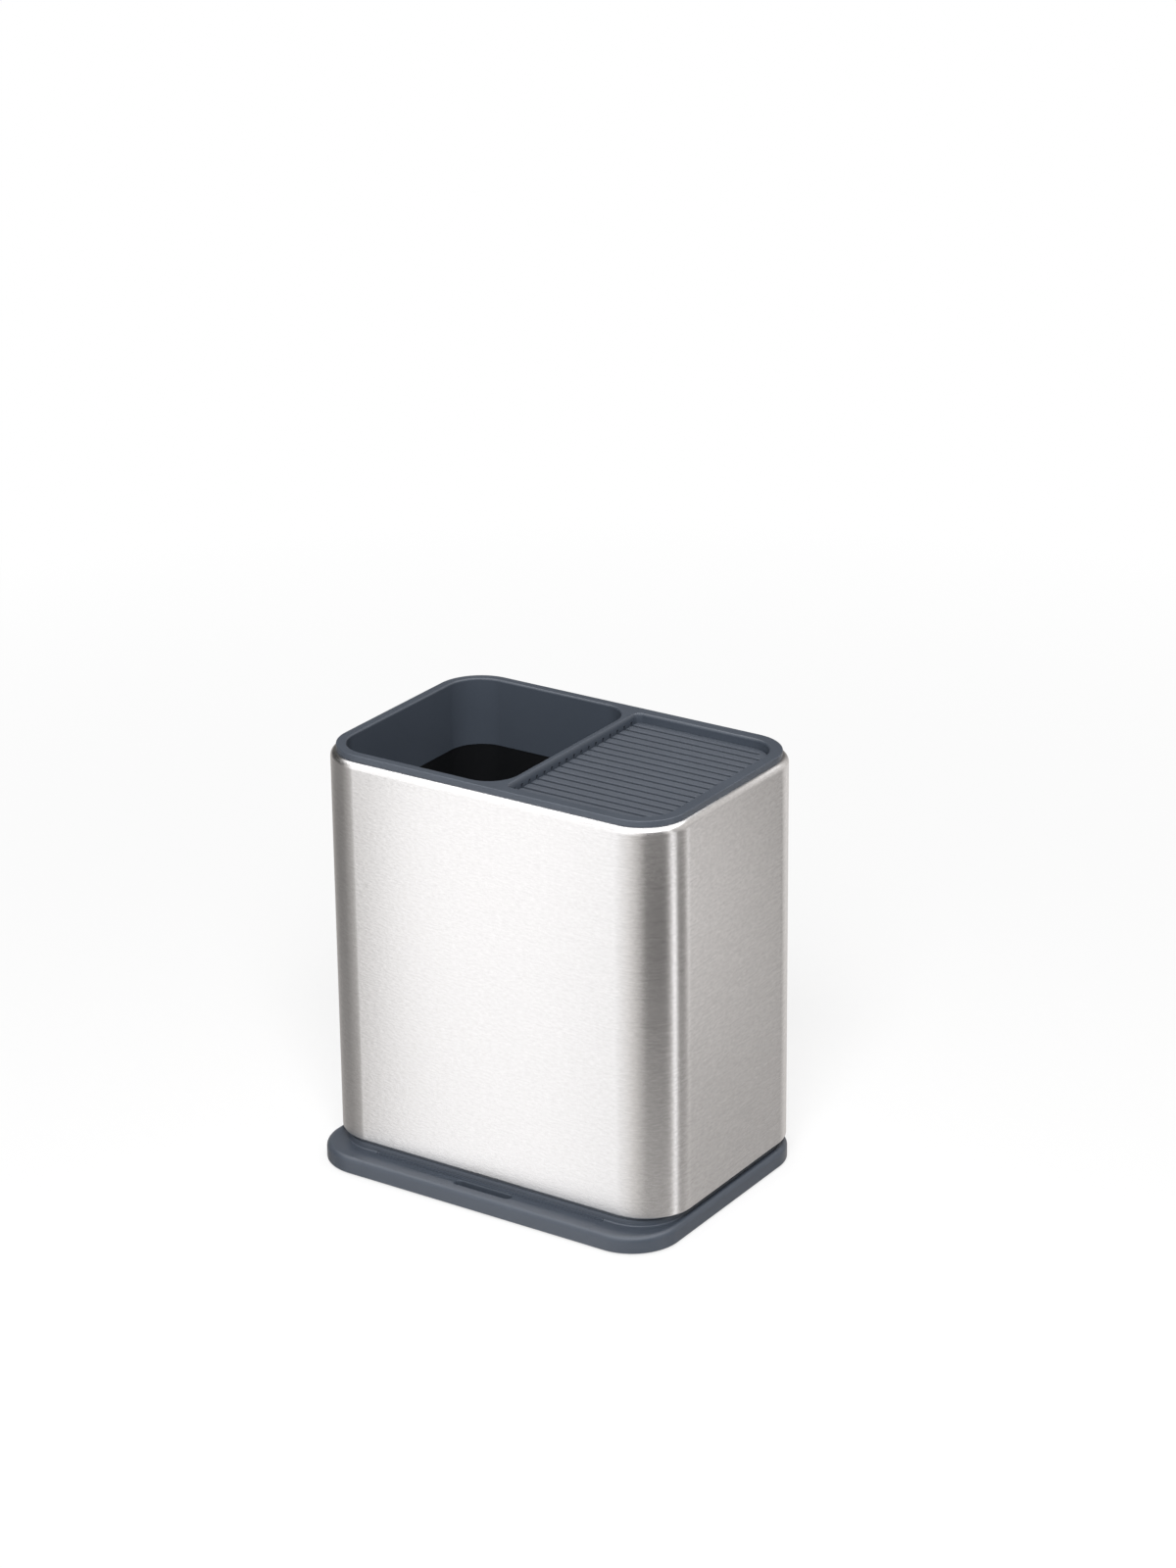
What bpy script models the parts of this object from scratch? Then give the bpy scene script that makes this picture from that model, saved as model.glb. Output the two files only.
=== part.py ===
"""Kitchen utensil holder: steel casing, moulded top frame with an open compartment and a knife
grid, two liners, and a base with a slide-out drip tray. Metres, +Z up, the front faces -Y."""

import math
from collections import namedtuple

import bmesh
import bpy
from mathutils import Matrix, Vector

# General sizes
CLEARANCE = 0.0003
OVERRUN = 0.002
FINE_RADIUS = 0.0001
CORNER_STEPS = 8
ROUND_STEPS = 3
DISC_SIDES = 16
SMOOTH_ANGLE = math.radians(32)

# Steel casing
CASING_WIDTH = 0.1806
CASING_DEPTH = 0.1190
CASING_HEIGHT = 0.1806
CASING_CORNER = 0.02325
SHEET = 0.0008
TOP_ROLL = 0.0030
TOP_LIP = 0.0045
BOTTOM_ROLL = 0.0013
BOTTOM_FLANGE = 0.0080

# Base plinth
PLINTH_SIDE = 0.00045
PLINTH_LEAD = 0.0117
PLINTH_CORNER = 0.0231
PLINTH_LIP = 0.0076
PLINTH_EDGE = 0.0005
SHOULDER = 0.0025
BACK_MARGIN = 0.0001
CHANNEL_DROP = 0.0005
CHANNEL_SETBACK = 0.0072
CHANNEL_SIDE = 0.0032
PEDESTAL_SETBACK = 0.0123
PEDESTAL_SIDE = 0.0042
PEDESTAL_CORNER = 0.0205
PEDESTAL_HEIGHT = 0.00863

# Stepped collar under the casing
COLLAR_LOWER = 0.00095
COLLAR_UPPER = 0.0010
COLLAR_STEP = 0.0006
COLLAR_BAND = 0.0070

# Rubber feet and the screws that they cover
FOOT_PROUD = 0.0008
FOOT_POCKET = 0.0015
FOOT_RADIUS = 0.0060
FOOT_EDGE = 0.0004
SCREW_RADIUS = 0.0015
SCREW_LENGTH = 0.0125
SCREW_HEAD_RADIUS = 0.0028
SCREW_HEAD = 0.0017
SCREW_CROSS_WIDTH = 0.0007
SCREW_CROSS_DEPTH = 0.0009
COUNTERBORE = 0.0022

# Inner floor
FLOOR_PLATE = 0.0020
FLOOR_INSET = 0.0032
POST_RADIUS = 0.0040
POST_GAP = 0.0008
POST_RISE = 0.0059
POST_CAP = 0.0015
DRAIN_WIDTH = 0.0030
DRAIN_PITCH = 0.0120
DRAIN_RIB = 0.0120
FLOOR_DRAIN_MARGIN = 0.0065

# Drip tray
TRAY_SIDE = 0.03075
TRAY_SEAM = 0.0003
TRAY_LIFT = 0.0002
TRAY_WALL = 0.0016
TRAY_FLOOR = 0.0012
TRAY_RAIL = 0.0034
TRAY_FLANGE = 0.0015
TRAY_CORNER = 0.0030
TRAY_BACK_MARGIN = 0.0118
WELL_MARGIN = 0.0040
WELL_FRONT = 0.0090
NOTCH_HALF_LENGTH = 0.0150
NOTCH_FRONT = 0.0054
NOTCH_BACK = 0.0102
NOTCH_DEPTH = 0.0046

# Top frame
FLANGE_INSET = 0.0026
FLANGE_THICKNESS = 0.00245
FLANGE_EDGE = 0.0005
SKIRT_WALL = 0.0024
SKIRT_DEPTH = 0.03155
MOUTH_ROUND = 0.0006
DIVIDER_LEFT = 0.0045
DIVIDER_CROWN = 0.0034
COMPARTMENT_CORNER = 0.0140
RECESS_WALL = 0.0036
RECESS_DEPTH = 0.0084
RECESS_CORNER = 0.0030
LEDGE = 0.0025
SHELF = 0.0020

# Knife grid
GRID_SINK = 0.0041
SLOT_PITCH = 0.0057
SLOT_EDGE = 0.0035
SLOT_WIDTH = 0.0021
SLOT_FLARE = 0.0006
SLOT_END_MARGIN = 0.0026
SLOT_START = 0.0020
NOTCH_STEP = 0.0026

# Liners
LINER_WALL = 0.0020
LAP_WALL = 0.0010
LAP_HEIGHT = 0.0080
LINER_FLOOR = 0.0020
LINER_FOOT_ROUND = 0.0030
LINER_DRAIN_MARGIN = 0.0140

Outline = namedtuple("Outline", "left right front back left_radius right_radius")


def rectangle(width, depth, centre_y, radius):
    """A rounded rectangle centred on x = 0."""
    return Outline(
        -width / 2,
        width / 2,
        centre_y - depth / 2,
        centre_y + depth / 2,
        radius,
        radius,
    )


def inset(outline, distance):
    """The same outline moved inwards, or outwards for a negative distance."""
    return Outline(
        outline.left + distance,
        outline.right - distance,
        outline.front + distance,
        outline.back - distance,
        max(outline.left_radius - distance, FINE_RADIUS),
        max(outline.right_radius - distance, FINE_RADIUS),
    )


# Places worked out from the sizes
plinth_z = FOOT_PROUD
lip_z = plinth_z + PLINTH_LIP
channel_z = lip_z - CHANNEL_DROP
pedestal_z = plinth_z + PEDESTAL_HEIGHT
collar_z = pedestal_z + CLEARANCE
collar_step_z = collar_z + COLLAR_LOWER
collar_top_z = collar_step_z + COLLAR_UPPER
steel_z = collar_top_z + CLEARANCE
steel_top_z = steel_z + CASING_HEIGHT
floor_z = steel_z + SHEET + CLEARANCE
post_top_z = floor_z + POST_RISE
liner_z = post_top_z + CLEARANCE
flange_z = steel_top_z + CLEARANCE
rim_z = flange_z + FLANGE_THICKNESS
skirt_z = rim_z - SKIRT_DEPTH
shelf_z = rim_z - RECESS_DEPTH
grid_top_z = rim_z - GRID_SINK
grid_z = shelf_z + CLEARANCE
plinth_width = CASING_WIDTH + 2 * PLINTH_SIDE
plinth_depth = PLINTH_LEAD + CASING_DEPTH + BACK_MARGIN
front_y = -plinth_depth / 2
back_y = plinth_depth / 2
casing_y = back_y - BACK_MARGIN - CASING_DEPTH / 2
pedestal_y = front_y + PEDESTAL_SETBACK
tray_z = plinth_z + TRAY_LIFT
tray_top_z = channel_z
tray_joint_y = pedestal_y - TRAY_SEAM
bay_back_y = back_y - TRAY_BACK_MARGIN
bay_half = plinth_width / 2 - TRAY_SIDE
tray_half = bay_half - TRAY_SEAM
rail_half = bay_half - TRAY_RAIL
rail_z = tray_top_z - TRAY_FLANGE - CLEARANCE
well_half = bay_half - WELL_MARGIN
well_front_y = pedestal_y + WELL_FRONT
well_back_y = bay_back_y - WELL_MARGIN

plinth_outline = rectangle(plinth_width, plinth_depth, 0, PLINTH_CORNER)
channel_outline = Outline(
    plinth_outline.left + CHANNEL_SIDE,
    plinth_outline.right - CHANNEL_SIDE,
    front_y + CHANNEL_SETBACK,
    back_y - CHANNEL_SIDE,
    PEDESTAL_CORNER,
    PEDESTAL_CORNER,
)
pedestal_outline = Outline(
    plinth_outline.left + PEDESTAL_SIDE,
    plinth_outline.right - PEDESTAL_SIDE,
    pedestal_y,
    back_y - PEDESTAL_SIDE,
    PEDESTAL_CORNER,
    PEDESTAL_CORNER,
)
casing_outline = rectangle(CASING_WIDTH, CASING_DEPTH, casing_y, CASING_CORNER)
flange_outline = inset(casing_outline, FLANGE_INSET)
frame_outline = inset(casing_outline, TOP_LIP + CLEARANCE)
utensil_tub = frame_outline._replace(
    right=DIVIDER_LEFT + SKIRT_WALL,
    right_radius=COMPARTMENT_CORNER + SKIRT_WALL,
)
knife_tub = frame_outline._replace(
    left=utensil_tub.right + CLEARANCE,
    left_radius=RECESS_CORNER + SKIRT_WALL,
)
recess_outline = inset(frame_outline, RECESS_WALL)._replace(
    left=DIVIDER_LEFT + DIVIDER_CROWN,
    left_radius=RECESS_CORNER,
)

for old in list(bpy.data.objects):
    bpy.data.objects.remove(old, do_unlink=True)

parts = bpy.data.collections.new("utensil_holder")
cutters = bpy.data.collections.new("cutters")
bpy.context.scene.collection.children.link(parts)
bpy.context.scene.collection.children.link(cutters)


def finish(name, colour, roughness, metallic=0.0):
    """A Principled material."""
    material = bpy.data.materials.new(name)
    material.use_nodes = True
    shader = material.node_tree.nodes["Principled BSDF"]
    shader.inputs["Base Color"].default_value = (*colour, 1.0)
    shader.inputs["Roughness"].default_value = roughness
    shader.inputs["Metallic"].default_value = metallic
    material.diffuse_color = (*colour, 1.0)
    return material


brushed_steel = finish("brushed_steel", (0.62, 0.61, 0.60), 0.32, 1.0)
slate_plastic = finish("slate_plastic", (0.115, 0.13, 0.15), 0.45)
black_plastic = finish("black_plastic", (0.012, 0.013, 0.015), 0.5)
foot_rubber = finish("foot_rubber", (0.02, 0.02, 0.021), 0.85)
screw_steel = finish("screw_steel", (0.5, 0.5, 0.49), 0.3, 1.0)


def add_part(name, mesh, material):
    """Links a mesh as a visible part, shaded smooth across its rounds."""
    if not mesh.materials:
        mesh.materials.append(material)
    mesh.shade_smooth()
    mesh.set_sharp_from_angle(angle=SMOOTH_ANGLE)
    part = bpy.data.objects.new(name, mesh)
    parts.objects.link(part)
    return part


def add_cutter(name, mesh):
    """Links a mesh as a helper that only shapes other objects."""
    cutter = bpy.data.objects.new(name, mesh)
    cutter.hide_render = True
    cutter.display_type = "WIRE"
    cutters.objects.link(cutter)
    return cutter


def combine(part, helper, operation="DIFFERENCE"):
    """A Boolean of the part with a helper."""
    modifier = part.modifiers.new(helper.name, "BOOLEAN")
    modifier.solver = "EXACT"
    modifier.operation = operation
    modifier.object = helper


def corner_points(outline):
    """The outline's points, anticlockwise, as four corner arcs."""
    points = []
    corners = (
        (outline.right, outline.back, outline.right_radius, 0),
        (outline.left, outline.back, outline.left_radius, 1),
        (outline.left, outline.front, outline.left_radius, 2),
        (outline.right, outline.front, outline.right_radius, 3),
    )
    for x, y, radius, quarter in corners:
        centre_x = x - math.copysign(radius, x - (outline.left + outline.right) / 2)
        centre_y = y - math.copysign(radius, y - (outline.front + outline.back) / 2)
        for step in range(CORNER_STEPS + 1):
            angle = math.pi / 2 * (quarter + step / CORNER_STEPS)
            points.append(
                (centre_x + radius * math.cos(angle), centre_y + radius * math.sin(angle))
            )
    return points


def loft(name, levels, closed=False):
    """A mesh through outlines, capped at both ends or closed on itself.

    The levels run up the outer side and down the inner side, so that the faces point out.
    """
    shape = bmesh.new()
    loops = []
    for outline, z in levels:
        loops.append([shape.verts.new((x, y, z)) for x, y in corner_points(outline)])
    pairs = list(zip(loops, loops[1:]))
    if closed:
        pairs.append((loops[-1], loops[0]))
    else:
        shape.faces.new(reversed(loops[0]))
        shape.faces.new(loops[-1])
    for lower, upper in pairs:
        for i in range(len(lower)):
            shape.faces.new((lower[i - 1], lower[i], upper[i], upper[i - 1]))
    mesh = bpy.data.meshes.new(name)
    shape.to_mesh(mesh)
    shape.free()
    return mesh


def blocks(name, spans):
    """A mesh of separate boxes, each given by its low and high corners."""
    shape = bmesh.new()
    for low, high in spans:
        centre = (Vector(low) + Vector(high)) / 2
        size = Vector(high) - Vector(low)
        place = Matrix.Translation(centre) @ Matrix.Diagonal((*size, 1))
        bmesh.ops.create_cube(shape, size=1, matrix=place)
    mesh = bpy.data.meshes.new(name)
    shape.to_mesh(mesh)
    shape.free()
    return mesh


def discs(name, radius, low, high, places):
    """A mesh of separate upright cylinders."""
    shape = bmesh.new()
    for x, y in places:
        bmesh.ops.create_cone(
            shape,
            cap_ends=True,
            segments=DISC_SIDES,
            radius1=radius,
            radius2=radius,
            depth=high - low,
            matrix=Matrix.Translation((x, y, (low + high) / 2)),
        )
    mesh = bpy.data.meshes.new(name)
    shape.to_mesh(mesh)
    shape.free()
    return mesh


def turned(name, profile, material):
    """A turned part from a radius and height profile that runs down its outer side."""
    mesh = bpy.data.meshes.new(name)
    points = [(radius, 0, height) for radius, height in profile]
    edges = [(i, i + 1) for i in range(len(points) - 1)]
    mesh.from_pydata(points, edges, [])
    part = add_part(name, mesh, material)
    spin = part.modifiers.new("turn", "SCREW")
    spin.steps = DISC_SIDES
    spin.render_steps = DISC_SIDES
    spin.use_merge_vertices = True
    spin.merge_threshold = FINE_RADIUS
    spin.use_smooth_shade = True
    return part


def arc_levels(outline, z, radius, rising=True):
    """Levels of a quarter round from a vertical wall to a flat top, or the reverse."""
    levels = []
    for step in range(ROUND_STEPS + 1):
        angle = math.pi / 2 * step / ROUND_STEPS
        reach = radius * (1 - math.cos(angle))
        rise = radius * math.sin(angle)
        levels.append((inset(outline, reach), z + rise - radius))
    return levels if rising else [(o, 2 * z - level) for o, level in reversed(levels)]


def mouth_levels(outline, low, top, radius):
    """Levels of a cutter whose mouth widens in a quarter round at the top."""
    levels = [(outline, low)]
    for step in range(ROUND_STEPS + 1):
        angle = math.pi / 2 * step / ROUND_STEPS
        reach = radius * (1 - math.cos(angle))
        levels.append((inset(outline, -reach), top - radius + radius * math.sin(angle)))
    levels.append((inset(outline, -radius), top + OVERRUN))
    return levels


def right_reach(outline, y):
    """The x of the outline's right side at y, which draws in round the corners."""
    radius = outline.right_radius
    middle = (outline.front + outline.back) / 2
    past = abs(y - middle) - (outline.back - outline.front) / 2 + radius
    if past <= 0:
        return outline.right
    return outline.right - radius + math.sqrt(max(radius**2 - past**2, 0))


def drain_spans(area, low, high):
    """Two rows of slots that run front to back and fill an area evenly."""
    count = int((area.right - area.left - DRAIN_WIDTH) / DRAIN_PITCH) + 1
    start = (area.left + area.right - DRAIN_PITCH * (count - 1)) / 2
    middle = (area.front + area.back) / 2
    rows = ((area.front, middle - DRAIN_RIB / 2), (middle + DRAIN_RIB / 2, area.back))
    spans = []
    for column in range(count):
        x = start + DRAIN_PITCH * column
        for front, back in rows:
            spans.append(
                ((x - DRAIN_WIDTH / 2, front, low), (x + DRAIN_WIDTH / 2, back, high))
            )
    return spans


def carrier(name, place, moving):
    """An empty on a joint's axis that carries the pieces that move together."""
    empty = bpy.data.objects.new(name, None)
    empty.location = place
    parts.objects.link(empty)
    bpy.context.view_layer.update()
    for part in moving:
        part.parent = empty
        part.matrix_parent_inverse = empty.matrix_world.inverted()


# The screws and feet stand on the diagonals of the collar's inner corners
post_ring = inset(pedestal_outline, COLLAR_BAND)
post_lean = (post_ring.right_radius - POST_RADIUS - POST_GAP) * math.cos(math.pi / 4)
post_setback = post_ring.right_radius - post_lean
foot_places = {
    "front_left": (post_ring.left + post_setback, post_ring.front + post_setback),
    "front_right": (post_ring.right - post_setback, post_ring.front + post_setback),
    "back_left": (post_ring.left + post_setback, post_ring.back - post_setback),
    "back_right": (post_ring.right - post_setback, post_ring.back - post_setback),
}


def make_steel_casing():
    """One sheet with its top edge rolled in to a lip and its bottom edge to a flange."""
    outer = arc_levels(casing_outline, steel_z, BOTTOM_ROLL, rising=False)
    outer += arc_levels(casing_outline, steel_top_z, TOP_ROLL)
    wall = inset(casing_outline, SHEET)
    inner = arc_levels(wall, steel_z + SHEET, BOTTOM_ROLL - SHEET, rising=False)
    inner += arc_levels(wall, steel_top_z - SHEET, TOP_ROLL - SHEET)
    lip = inset(casing_outline, TOP_LIP)
    flange = inset(casing_outline, BOTTOM_FLANGE)
    levels = [(flange, steel_z)] + outer
    levels += [(lip, steel_top_z), (lip, steel_top_z - SHEET)]
    levels += list(reversed(inner)) + [(flange, steel_z + SHEET)]
    add_part("steel_casing", loft("steel_casing", levels, closed=True), brushed_steel)


def make_top_frame():
    """The rim, its skirt, the divider and the recess for the knife grid."""
    levels = [(frame_outline, skirt_z), (frame_outline, flange_z), (flange_outline, flange_z)]
    levels += arc_levels(flange_outline, rim_z, FLANGE_EDGE)
    frame = add_part("top_frame", loft("top_frame", levels), slate_plastic)
    compartment = inset(utensil_tub, SKIRT_WALL)
    chamber = inset(knife_tub, SKIRT_WALL)
    grid_opening = inset(recess_outline, LEDGE)
    shapes = {
        "compartment_cutter": mouth_levels(
            compartment, skirt_z - OVERRUN, rim_z, MOUTH_ROUND
        ),
        "recess_cutter": mouth_levels(recess_outline, shelf_z, rim_z, MOUTH_ROUND),
        "grid_opening_cutter": [
            (grid_opening, shelf_z - SHELF - OVERRUN),
            (grid_opening, shelf_z + OVERRUN),
        ],
        "chamber_cutter": [(chamber, skirt_z - OVERRUN), (chamber, shelf_z - SHELF)],
    }
    for name, shape in shapes.items():
        combine(frame, add_cutter(name, loft(name, shape)))
    for name, tub in (("utensil_lap_cutter", utensil_tub), ("knife_lap_cutter", knife_tub)):
        outside = inset(tub, -CLEARANCE)
        inside = inset(tub, LAP_WALL + CLEARANCE)
        low = skirt_z - OVERRUN
        high = skirt_z + LAP_HEIGHT + CLEARANCE
        shape = [(outside, low), (outside, high), (inside, high), (inside, low)]
        combine(frame, add_cutter(name, loft(name, shape, closed=True)))
    return frame


def make_liner(name, tub):
    """A tub whose thinned top edge laps round the skirt, with drain slots in its floor."""
    levels = arc_levels(tub, liner_z, LINER_FOOT_ROUND, rising=False)
    levels += [
        (tub, skirt_z + LAP_HEIGHT),
        (inset(tub, LAP_WALL), skirt_z + LAP_HEIGHT),
        (inset(tub, LAP_WALL), skirt_z - CLEARANCE),
        (inset(tub, LINER_WALL), skirt_z - CLEARANCE),
        (inset(tub, LINER_WALL), liner_z + LINER_FLOOR),
    ]
    liner = add_part(name, loft(name, levels), black_plastic)
    drains = drain_spans(
        inset(tub, LINER_DRAIN_MARGIN), liner_z - OVERRUN, liner_z + LINER_FLOOR + OVERRUN
    )
    drain_name = name + "_drain_cutter"
    combine(liner, add_cutter(drain_name, blocks(drain_name, drains)))
    return liner


def make_knife_grid():
    """A panel of ribs between slots that are open to the knife chamber below."""
    edge = inset(recess_outline, CLEARANCE)
    sheet = loft("knife_grid", [(edge, grid_z), (edge, grid_top_z)])
    panel = add_part("knife_grid", sheet, slate_plastic)
    half = SLOT_WIDTH / 2
    flare_z = grid_top_z - SLOT_FLARE
    section = (
        (half, grid_z - OVERRUN),
        (half, flare_z),
        (half + SLOT_FLARE + OVERRUN, grid_top_z + OVERRUN),
    )
    centre_y = (recess_outline.front + recess_outline.back) / 2
    slot_limit = inset(edge, SLOT_END_MARGIN)
    free_depth = edge.back - edge.front - 2 * SLOT_EDGE - SLOT_WIDTH
    slot_count = int(free_depth / SLOT_PITCH) + 1
    first_y = centre_y - SLOT_PITCH * (slot_count - 1) / 2
    slot_places = [first_y + SLOT_PITCH * i for i in range(slot_count)]
    shape = bmesh.new()
    for y in slot_places:
        points = [(y + across, z) for across, z in section]
        points += [(y - across, z) for across, z in reversed(section)]
        verts = [shape.verts.new((edge.left + SLOT_START, py, pz)) for py, pz in points]
        face = shape.faces.new(verts)
        outer_y = y + math.copysign(half, y - centre_y)
        run = right_reach(slot_limit, outer_y) - edge.left - SLOT_START
        grown = bmesh.ops.extrude_face_region(shape, geom=[face])["geom"]
        moved = [v for v in grown if isinstance(v, bmesh.types.BMVert)]
        bmesh.ops.translate(shape, verts=moved, vec=(run, 0, 0))
    bmesh.ops.recalc_face_normals(shape, faces=shape.faces)
    mesh = bpy.data.meshes.new("slot_cutter")
    shape.to_mesh(mesh)
    shape.free()
    combine(panel, add_cutter("slot_cutter", mesh))
    notches = []
    for y in slot_places:
        notches.append(
            (
                (edge.left - OVERRUN, y - half, grid_top_z - NOTCH_STEP),
                (edge.left + SLOT_START + half, y + half, grid_top_z + OVERRUN),
            )
        )
    combine(panel, add_cutter("slot_notch_cutter", blocks("slot_notch_cutter", notches)))
    return panel


def make_inner_floor():
    """The plate on the casing's flange, with screw posts and drain slots."""
    plate = inset(casing_outline, FLOOR_INSET)
    floor = add_part(
        "inner_floor",
        loft("inner_floor", [(plate, floor_z), (plate, floor_z + FLOOR_PLATE)]),
        black_plastic,
    )
    places = list(foot_places.values())
    posts = discs("post_former", POST_RADIUS, collar_z, post_top_z, places)
    combine(floor, add_cutter("post_former", posts), "UNION")
    bores = discs(
        "post_bore_cutter",
        SCREW_RADIUS + CLEARANCE,
        collar_z - OVERRUN,
        post_top_z - POST_CAP,
        places,
    )
    combine(floor, add_cutter("post_bore_cutter", bores))
    well = Outline(-well_half, well_half, well_front_y, well_back_y, 0, 0)
    drains = drain_spans(
        inset(well, FLOOR_DRAIN_MARGIN), floor_z - OVERRUN, floor_z + FLOOR_PLATE + OVERRUN
    )
    combine(floor, add_cutter("floor_drain_cutter", blocks("floor_drain_cutter", drains)))


def make_base_collar():
    """The stepped ring between the plinth and the casing."""
    lower = pedestal_outline
    upper = inset(pedestal_outline, COLLAR_STEP)
    inside = inset(pedestal_outline, COLLAR_BAND)
    levels = [
        (inside, collar_z),
        (lower, collar_z),
        (lower, collar_step_z),
        (upper, collar_step_z),
        (upper, collar_top_z),
        (inside, collar_top_z),
    ]
    add_part("base_collar", loft("base_collar", levels, closed=True), slate_plastic)


def plinth_levels():
    """The base's outside: wall, round shoulder, lip, channel and pedestal."""
    levels = arc_levels(plinth_outline, plinth_z, PLINTH_EDGE, rising=False)
    levels += arc_levels(plinth_outline, lip_z, SHOULDER)
    levels += [
        (channel_outline, lip_z),
        (channel_outline, channel_z),
        (pedestal_outline, channel_z),
        (pedestal_outline, pedestal_z),
    ]
    return levels


def make_base_plinth():
    """The moulded base, with the bay that the drip tray slides in."""
    plinth = add_part("base_plinth", loft("base_plinth", plinth_levels()), slate_plastic)
    low = plinth_z - OVERRUN
    bridge_z = tray_top_z + CLEARANCE
    front = front_y - OVERRUN
    bay = blocks(
        "tray_bay_cutter",
        [((-rail_half, pedestal_y - OVERRUN, low), (rail_half, bay_back_y, bridge_z))],
    )
    combine(plinth, add_cutter("tray_bay_cutter", bay))
    mouth = blocks(
        "tray_mouth_cutter",
        [((-bay_half, front, low), (bay_half, pedestal_y, pedestal_z + OVERRUN))],
    )
    combine(plinth, add_cutter("tray_mouth_cutter", mouth))
    groove = blocks(
        "tray_rail_cutter",
        [
            (
                (-bay_half, pedestal_y - OVERRUN, rail_z),
                (bay_half, bay_back_y, bridge_z),
            )
        ],
    )
    combine(plinth, add_cutter("tray_rail_cutter", groove))
    well = blocks(
        "drain_well_cutter",
        [
            (
                (-well_half, well_front_y, channel_z),
                (well_half, well_back_y, pedestal_z + OVERRUN),
            )
        ],
    )
    combine(plinth, add_cutter("drain_well_cutter", well))
    places = list(foot_places.values())
    pocket_z = plinth_z + FOOT_POCKET
    bore_z = pocket_z + COUNTERBORE
    holes = (
        ("foot_pocket_cutter", FOOT_RADIUS + CLEARANCE, low, pocket_z),
        ("counterbore_cutter", SCREW_HEAD_RADIUS + CLEARANCE, low, bore_z),
        ("screw_hole_cutter", SCREW_RADIUS + CLEARANCE, low, pedestal_z + OVERRUN),
    )
    for name, radius, start, end in holes:
        combine(plinth, add_cutter(name, discs(name, radius, start, end, places)))


def make_drip_tray():
    """A shallow pan behind a front section that carries on the base's outside."""
    tray = add_part("drip_tray", loft("drip_tray", plinth_levels()), slate_plastic)
    front = front_y - OVERRUN
    low = plinth_z - OVERRUN
    keep = blocks(
        "tray_front_former",
        [((-tray_half, front, tray_z), (tray_half, tray_joint_y, lip_z + OVERRUN))],
    )
    combine(tray, add_cutter("tray_front_former", keep), "INTERSECT")
    pan_half = rail_half - CLEARANCE
    back = bay_back_y - CLEARANCE
    pan_outline = Outline(
        -pan_half, pan_half, tray_joint_y - TRAY_WALL, back, TRAY_CORNER, TRAY_CORNER
    )
    pan = loft("pan_former", [(pan_outline, tray_z), (pan_outline, tray_top_z)])
    combine(tray, add_cutter("pan_former", pan), "UNION")
    rails_outline = pan_outline._replace(left=-tray_half, right=tray_half)
    flange = loft(
        "tray_flange_former",
        [
            (rails_outline, tray_top_z - TRAY_FLANGE),
            (rails_outline, tray_top_z),
        ],
    )
    combine(tray, add_cutter("tray_flange_former", flange), "UNION")
    hollow_outline = inset(pan_outline, TRAY_WALL)._replace(front=tray_joint_y + TRAY_WALL)
    hollow = loft(
        "pan_hollow_cutter",
        [(hollow_outline, tray_z + TRAY_FLOOR), (hollow_outline, tray_top_z + OVERRUN)],
    )
    combine(tray, add_cutter("pan_hollow_cutter", hollow))
    notch_radius = (NOTCH_BACK - NOTCH_FRONT) / 2
    notch_outline = Outline(
        -NOTCH_HALF_LENGTH,
        NOTCH_HALF_LENGTH,
        front_y + NOTCH_FRONT,
        front_y + NOTCH_BACK,
        notch_radius - FINE_RADIUS,
        notch_radius - FINE_RADIUS,
    )
    notch = loft(
        "finger_notch_cutter",
        [(notch_outline, lip_z - NOTCH_DEPTH), (notch_outline, lip_z + OVERRUN)],
    )
    combine(tray, add_cutter("finger_notch_cutter", notch))
    return tray


def make_feet_and_screws():
    """A rubber foot over a screw at each corner of the base."""
    foot_top = FOOT_PROUD + FOOT_POCKET - CLEARANCE
    foot_profile = (
        (0, foot_top),
        (FOOT_RADIUS, foot_top),
        (FOOT_RADIUS, FOOT_EDGE),
        (FOOT_RADIUS - FOOT_EDGE, 0),
        (0, 0),
    )
    head_top = plinth_z + FOOT_POCKET + COUNTERBORE - CLEARANCE
    head_low = head_top - SCREW_HEAD
    screw_profile = (
        (0, head_top + SCREW_LENGTH),
        (SCREW_RADIUS / 2, head_top + SCREW_LENGTH),
        (SCREW_RADIUS, head_top + SCREW_LENGTH - SCREW_RADIUS),
        (SCREW_RADIUS, head_top),
        (SCREW_HEAD_RADIUS, head_top),
        (SCREW_HEAD_RADIUS, head_low + SCREW_CROSS_WIDTH),
        (SCREW_HEAD_RADIUS - SCREW_CROSS_WIDTH, head_low),
        (0, head_low),
    )
    arm = SCREW_HEAD_RADIUS - 2 * SCREW_CROSS_WIDTH
    half = SCREW_CROSS_WIDTH / 2
    for corner, (x, y) in foot_places.items():
        foot = turned("foot_" + corner, foot_profile, foot_rubber)
        foot.location = (x, y, 0)
        screw = turned("screw_" + corner, screw_profile, screw_steel)
        screw.location = (x, y, 0)
        for name, reach in (("length", (arm, half)), ("width", (half, arm))):
            span = (
                (x - reach[0], y - reach[1], head_low - OVERRUN),
                (x + reach[0], y + reach[1], head_low + SCREW_CROSS_DEPTH),
            )
            cutter_name = "cross_" + name + "_" + corner
            combine(screw, add_cutter(cutter_name, blocks(cutter_name, [span])))


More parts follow.
